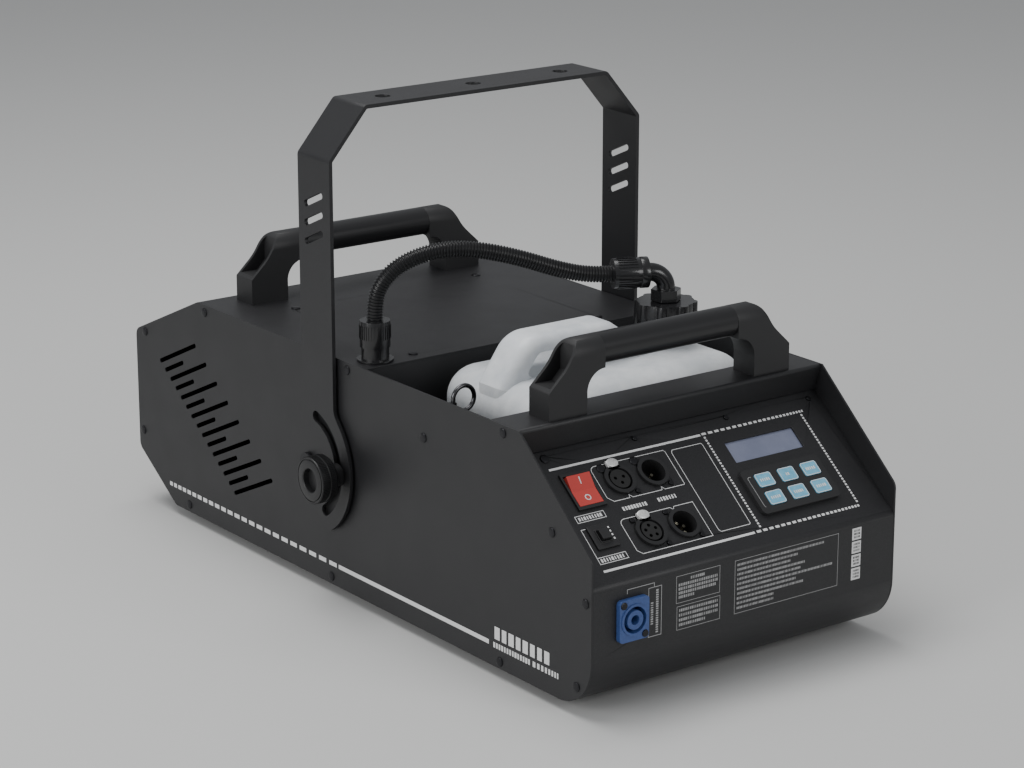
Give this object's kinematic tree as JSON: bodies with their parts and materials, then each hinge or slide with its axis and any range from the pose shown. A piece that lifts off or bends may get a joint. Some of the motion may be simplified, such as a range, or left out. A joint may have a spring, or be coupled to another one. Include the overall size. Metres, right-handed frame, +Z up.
{
  "type": "fog machine",
  "caption": "Portable stage fog machine: sheet-metal body with sloped control panel, lift-out fluid tank, carrying handles and a tilting hanging yoke.",
  "frame": {"origin": "centre of the footprint, on the plane that the rubber feet stand on", "axes": "+Z up, +Y along the body towards the fog nozzle, +X to the right as seen from the control panel"},
  "size_m": [0.3464, 0.6432, 0.3833],
  "materials": {
    "black_powder_coat": "fine-textured satin black powder coat",
    "zinc_steel": "zinc-plated steel",
    "screw_steel": "dark zinc machine screws",
    "black_moulding": "satin black nylon",
    "grip_tube": "satin black sleeve on a steel tube",
    "natural_hdpe": "translucent natural polyethylene",
    "cap_black": "semi-gloss black",
    "hose_black": "corrugated black nylon",
    "rubber_black": "black rubber",
    "rocker_red": "translucent red",
    "key_blue": "light blue domed label",
    "inlet_blue": "blue connector body",
    "display_glass": "display window",
    "board_green": "circuit board",
    "contact_brass": "plated contacts",
    "latch_metal": "plated push tab",
    "heater_cast": "cast heater block",
    "tube_clear": "dip tube"
  },
  "bodies": {
    "chassis": {"bottom_pan": "black_powder_coat", "breaker_housing": "black_moulding", "control_board": "board_green", "control_panel": "black_powder_coat", "cover_gland": "cap_black", "cover_screws": "screw_steel", "data_in_3pin_pins": "contact_brass", "data_in_3pin_shell": "black_moulding", "data_in_5pin_pins": "contact_brass", "data_in_5pin_shell": "black_moulding", "data_out_3pin_insert": "black_moulding", "data_out_3pin_shell": "black_moulding", "data_out_5pin_insert": "black_moulding", "data_out_5pin_shell": "black_moulding", "display_module": "board_green", "display_window": "display_glass", "feet": "rubber_black", "fluid_hose": "hose_black", "fluid_pickup_tube": "tube_clear", "fluid_pump": "heater_cast", "fluid_tank": "natural_hdpe", "front_handle_bar": "grip_tube", "front_handle_left_end": "black_moulding", "front_handle_right_end": "black_moulding", "front_top_plate": "black_powder_coat", "heater_block": "heater_cast", "inlet_screws": "screw_steel", "keypad_bezel": "black_moulding", "left_side_plate": "black_powder_coat", "nozzle": "contact_brass", "nozzle_end_panel": "black_powder_coat", "panel_screws": "screw_steel", "pivot_bolts": "zinc_steel", "power_inlet": "inlet_blue", "rear_handle_bar": "grip_tube", "rear_handle_left_end": "black_moulding", "rear_handle_right_end": "black_moulding", "rear_top_cover": "black_powder_coat", "right_side_plate": "black_powder_coat", "rocker_housing": "black_moulding", "side_screws": "screw_steel", "tank_bay": "black_powder_coat", "tank_elbow": "cap_black", "tank_gland_nut": "cap_black", "tank_strap_ring": "zinc_steel"},
    "yoke": {"yoke": "black_powder_coat"},
    "left_clamp": {"left_knob": "black_moulding"},
    "right_clamp": {"right_knob": "black_moulding"},
    "rocker": {"power_rocker": "rocker_red"},
    "reset_button": {"breaker_button": "black_moulding"},
    "latch_3pin": {"data_out_3pin_latch": "latch_metal"},
    "latch_5pin": {"data_out_5pin_latch": "latch_metal"},
    "cap": {"tank_cap": "cap_black"},
    "timer_key": {"timer_key": "key_blue"},
    "volume_key": {"volume_key": "key_blue"},
    "manual_key": {"manual_key": "key_blue"},
    "function_key": {"function_key": "key_blue"},
    "up_key": {"up_key": "key_blue"},
    "down_key": {"down_key": "key_blue"}
  },
  "joints": [
    {"name": "yoke_tilt", "type": "hinge", "parent": "chassis", "child": "yoke", "pos_m": [0, 0.02915, 0.1034], "axis": [1, 0, 0], "range_deg": [-57, 50]},
    {"name": "left_knob_turn", "type": "hinge", "parent": "chassis", "child": "left_clamp", "pos_m": [-0.16, -0.01085, 0.1034], "axis": [1, 0, 0], "continuous": true},
    {"name": "right_knob_turn", "type": "hinge", "parent": "chassis", "child": "right_clamp", "pos_m": [0.16, -0.01085, 0.1034], "axis": [1, 0, 0], "continuous": true},
    {"name": "power_rocker_tilt", "type": "hinge", "parent": "chassis", "child": "rocker", "pos_m": [-0.103, -0.25376, 0.14505], "axis": [1, 0, 0], "range_deg": [-14, 0]},
    {"name": "breaker_reset", "type": "slide", "parent": "chassis", "child": "reset_button", "axis": [0, -0.628, 0.7782], "range_m": [0, 0.003]},
    {"name": "tank_cap_turn", "type": "hinge", "parent": "chassis", "child": "cap", "pos_m": [0.0825, -0.1197, 0.216], "axis": [0, 0, 1], "continuous": true},
    {"name": "latch_3pin_push", "type": "slide", "parent": "chassis", "child": "latch_3pin", "axis": [0, 0.628, -0.7782], "range_m": [0, 0.0015], "stiffness_N_per_m": 400},
    {"name": "latch_5pin_push", "type": "slide", "parent": "chassis", "child": "latch_5pin", "axis": [0, 0.628, -0.7782], "range_m": [0, 0.0015], "stiffness_N_per_m": 400},
    {"name": "timer_key_push", "type": "slide", "parent": "chassis", "child": "timer_key", "axis": [0, 0.628, -0.7782], "range_m": [0, 0.0005], "stiffness_N_per_m": 600},
    {"name": "volume_key_push", "type": "slide", "parent": "chassis", "child": "volume_key", "axis": [0, 0.628, -0.7782], "range_m": [0, 0.0005], "stiffness_N_per_m": 600},
    {"name": "manual_key_push", "type": "slide", "parent": "chassis", "child": "manual_key", "axis": [0, 0.628, -0.7782], "range_m": [0, 0.0005], "stiffness_N_per_m": 600},
    {"name": "function_key_push", "type": "slide", "parent": "chassis", "child": "function_key", "axis": [0, 0.628, -0.7782], "range_m": [0, 0.0005], "stiffness_N_per_m": 600},
    {"name": "up_key_push", "type": "slide", "parent": "chassis", "child": "up_key", "axis": [0, 0.628, -0.7782], "range_m": [0, 0.0005], "stiffness_N_per_m": 600},
    {"name": "down_key_push", "type": "slide", "parent": "chassis", "child": "down_key", "axis": [0, 0.628, -0.7782], "range_m": [0, 0.0005], "stiffness_N_per_m": 600}
  ]
}
